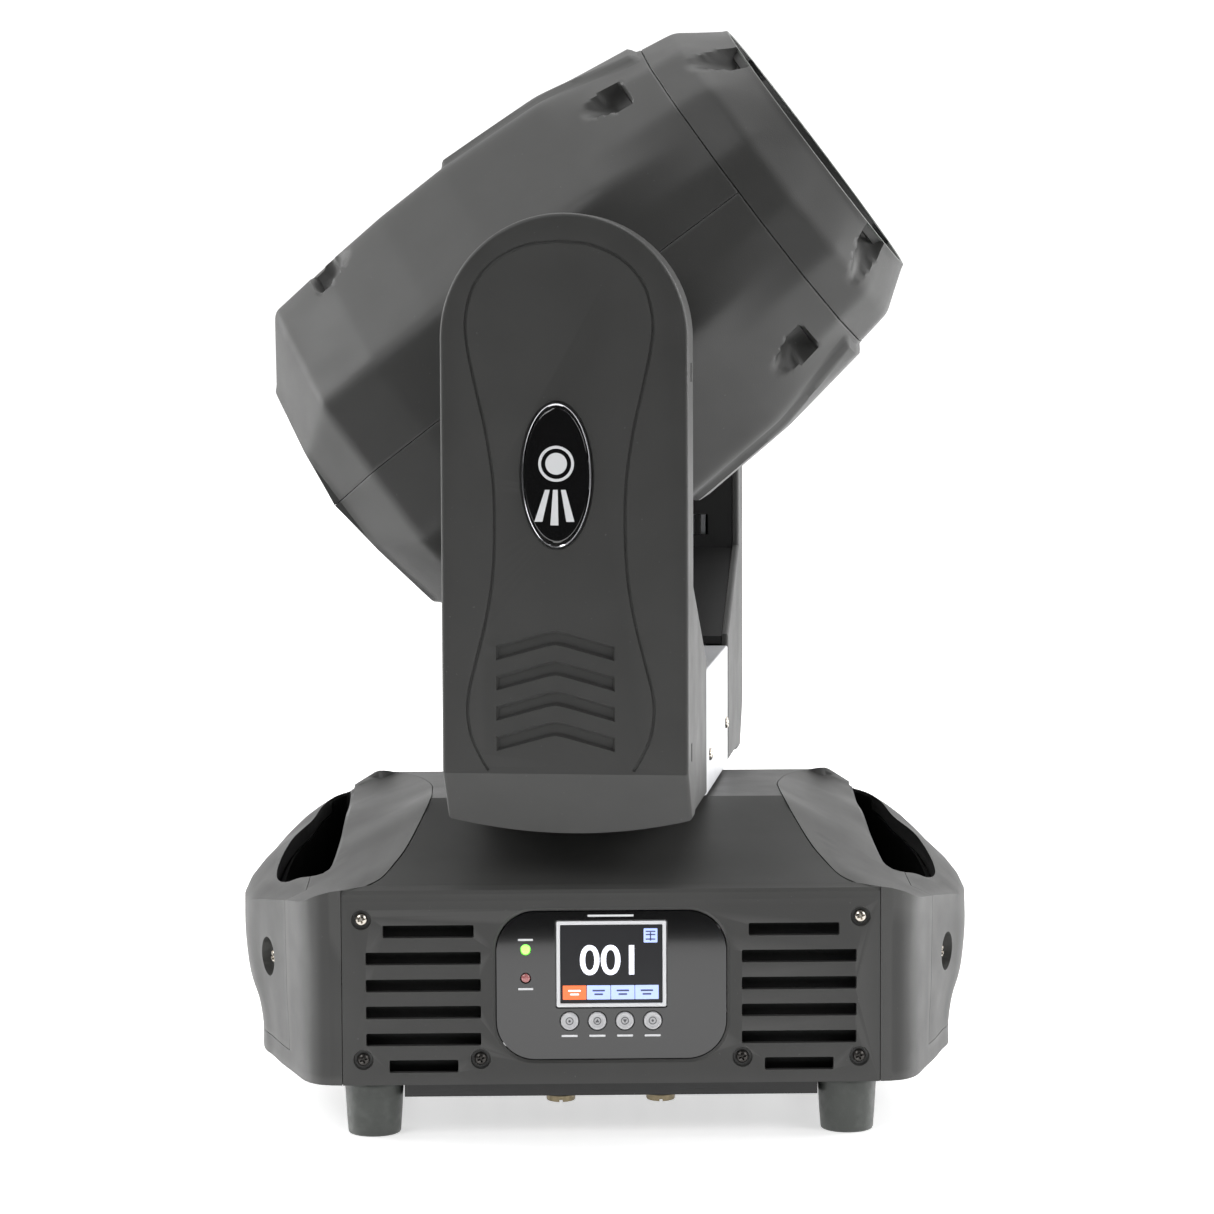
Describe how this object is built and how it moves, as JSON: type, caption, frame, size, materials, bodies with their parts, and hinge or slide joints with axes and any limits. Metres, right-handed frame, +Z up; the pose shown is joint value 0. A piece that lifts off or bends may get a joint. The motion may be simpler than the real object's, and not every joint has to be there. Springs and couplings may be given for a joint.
{
  "type": "moving head light",
  "caption": "Stage spotlight head tilting in a two-armed yoke that pans on a sloped base with hand-hole handles, vents, display and rubber feet.",
  "frame": {"origin": "on the ground plane under the pan axis, the centre of the base", "axes": "+Z up along the pan axis, the display side faces -Y, +X to the right seen from the display side"},
  "size_m": [0.333, 0.3114, 0.4863],
  "materials": {
    "housing": "fine-grained charcoal moulding",
    "inner_plastic": "black moulding",
    "tray_metal": "black painted sheet",
    "foot_rubber": "satin dark rubber",
    "bright_screw": "zinc-plated steel",
    "black_screw": "black steel",
    "stud_brass": "dull plated brass",
    "gloss_panel": "polished black",
    "display": "colour display in a pale frame",
    "button_cap": "pale grey push button",
    "lamp_green": "lit green lamp",
    "lamp_red": "unlit red lamp",
    "socket_metal": "nickel-plated shell",
    "bare_aluminium": "bare sheet",
    "motor_steel": "motor and pulley steel",
    "lens_glass": "clear front lens"
  },
  "bodies": {
    "base": {"front_cover": "housing", "rear_cover": "housing", "top_plate": "housing", "side_cap_left": "housing", "side_cap_right": "housing", "handle_left": "housing", "handle_right": "housing", "power_inlet": "inner_plastic", "pan_bearing": "inner_plastic", "bottom_tray": "tray_metal", "foot_front_left": "foot_rubber", "foot_front_right": "foot_rubber", "foot_rear_left": "foot_rubber", "foot_rear_right": "foot_rubber", "cover_screw_1": "bright_screw", "cover_screw_2": "bright_screw", "handle_bolt_left_front": "bright_screw", "handle_bolt_left_rear": "bright_screw", "handle_bolt_right_front": "bright_screw", "handle_bolt_right_rear": "bright_screw", "cover_screw_3": "black_screw", "cover_screw_4": "black_screw", "cover_screw_5": "black_screw", "cover_screw_6": "black_screw", "bracket_stud_left": "stud_brass", "bracket_stud_right": "stud_brass", "display_panel": "gloss_panel", "display_module": "display", "indicator_green": "lamp_green", "indicator_red": "lamp_red", "data_socket_in": "socket_metal", "data_socket_out": "socket_metal", "power_supply": "bare_aluminium", "pan_motor": "motor_steel"},
    "yoke": {"arm_cover_near": "housing", "arm_cover_far": "housing", "arm_liner_near": "inner_plastic", "arm_liner_far": "inner_plastic", "badge_near": "gloss_panel", "badge_far": "gloss_panel", "yoke_bridge": "bare_aluminium", "arm_plate_near": "bare_aluminium", "arm_plate_far": "bare_aluminium", "pan_shaft": "bare_aluminium", "tilt_motor": "motor_steel"},
    "head": {"head_shell_lower": "housing", "head_shell_upper": "housing", "front_bezel": "housing", "light_engine": "bare_aluminium", "head_chassis": "bare_aluminium", "front_lens": "lens_glass"},
    "pan_pulley": {"pan_motor_pulley": "motor_steel"},
    "tilt_pulley": {"tilt_motor_pulley": "motor_steel"},
    "fan": {"head_fan": "inner_plastic"},
    "wheel": {"effect_wheel": "bare_aluminium"},
    "focus": {"focus_barrel": "bare_aluminium"},
    "key_menu": {"button_menu": "button_cap"},
    "key_up": {"button_up": "button_cap"},
    "key_down": {"button_down": "button_cap"},
    "key_enter": {"button_enter": "button_cap"}
  },
  "joints": [
    {"name": "pan", "type": "hinge", "parent": "base", "child": "yoke", "pos_m": [0, 0, 0.1407], "axis": [0, 0, 1], "range_deg": [-270, 270]},
    {"name": "tilt", "type": "hinge", "parent": "yoke", "child": "head", "pos_m": [0, 0, 0.359], "axis": [0.134, 0.991, 0], "range_deg": [-188, 82]},
    {"name": "pan_pulley_spin", "type": "hinge", "parent": "base", "child": "pan_pulley", "pos_m": [-0.058, -0.022, 0.1], "axis": [0, 0, 1], "range_deg": [-1080, 1080]},
    {"name": "tilt_pulley_spin", "type": "hinge", "parent": "yoke", "child": "tilt_pulley", "pos_m": [-0.01836, -0.13576, 0.19], "axis": [0.134, 0.991, 0], "range_deg": [-750, 330]},
    {"name": "fan_spin", "type": "hinge", "parent": "head", "child": "fan", "pos_m": [-0.0926, 0.01252, 0.28859], "axis": [0.7914, -0.107, 0.6018], "continuous": true},
    {"name": "wheel_spin", "type": "hinge", "parent": "head", "child": "wheel", "pos_m": [0.011, 0.02172, 0.36502], "axis": [0.7914, -0.107, 0.6018], "continuous": true},
    {"name": "focus_slide", "type": "slide", "parent": "head", "child": "focus", "axis": [0.7914, -0.107, 0.6018], "range_m": [-0.004, 0.02]},
    {"name": "press_menu", "type": "slide", "parent": "base", "child": "key_menu", "axis": [0, 1, 0], "range_m": [0, 0.0008], "stiffness_N_per_m": 500},
    {"name": "press_up", "type": "slide", "parent": "base", "child": "key_up", "axis": [0, 1, 0], "range_m": [0, 0.0008], "stiffness_N_per_m": 500},
    {"name": "press_down", "type": "slide", "parent": "base", "child": "key_down", "axis": [0, 1, 0], "range_m": [0, 0.0008], "stiffness_N_per_m": 500},
    {"name": "press_enter", "type": "slide", "parent": "base", "child": "key_enter", "axis": [0, 1, 0], "range_m": [0, 0.0008], "stiffness_N_per_m": 500}
  ],
  "couplings": [
    {"joint": "pan_pulley_spin", "follows": "pan", "ratio": 4},
    {"joint": "tilt_pulley_spin", "follows": "tilt", "ratio": 3.91}
  ]
}
